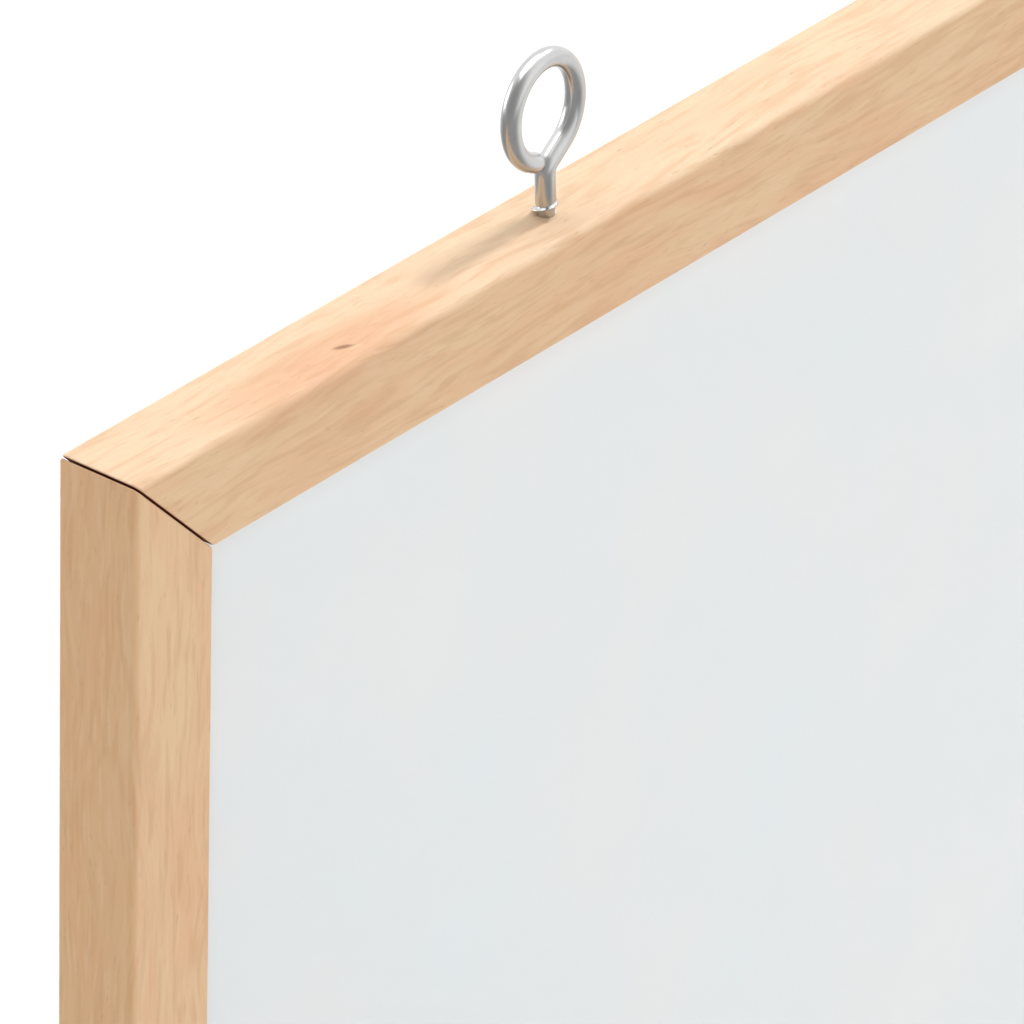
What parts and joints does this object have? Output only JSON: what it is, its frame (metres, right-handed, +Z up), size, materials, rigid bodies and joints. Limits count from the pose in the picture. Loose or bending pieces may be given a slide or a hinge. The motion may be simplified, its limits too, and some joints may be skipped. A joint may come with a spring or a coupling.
{
  "type": "magnetic whiteboard",
  "caption": "Slim wall whiteboard: a lacquered steel sheet held in a mitred wooden frame, with screw eyes in its top rail to hang it by.",
  "frame": {"origin": "under the middle of the bottom rail, halfway through the frame's depth", "axes": "+X along the board's width, +Y out of its back, +Z up"},
  "size_m": [0.6, 0.017, 0.4311],
  "materials": {
    "beech": "oiled, satin",
    "white_lacquer": "gloss",
    "fibreboard": "raw sawn edge",
    "liner_paper": "matte kraft paper",
    "zinc_wire": "satin zinc plate",
    "blued_steel": "blued"
  },
  "bodies": {
    "root": {"top_rail": "beech", "bottom_rail": "beech", "left_stile": "beech", "right_stile": "beech", "writing_sheet": "white_lacquer", "core_board": "fibreboard", "back_liner": "liner_paper", "screw_eye_left": "zinc_wire", "screw_eye_right": "zinc_wire", "v_nail_top_left_1": "blued_steel", "v_nail_top_left_2": "blued_steel", "v_nail_top_right_1": "blued_steel", "v_nail_top_right_2": "blued_steel", "v_nail_bottom_left_1": "blued_steel", "v_nail_bottom_left_2": "blued_steel", "v_nail_bottom_right_1": "blued_steel", "v_nail_bottom_right_2": "blued_steel", "framers_point_top_rail_1": "blued_steel", "framers_point_top_rail_2": "blued_steel", "framers_point_top_rail_3": "blued_steel", "framers_point_bottom_rail_1": "blued_steel", "framers_point_bottom_rail_2": "blued_steel", "framers_point_bottom_rail_3": "blued_steel", "framers_point_left_stile_1": "blued_steel", "framers_point_left_stile_2": "blued_steel", "framers_point_right_stile_1": "blued_steel", "framers_point_right_stile_2": "blued_steel"}
  },
  "joints": []
}
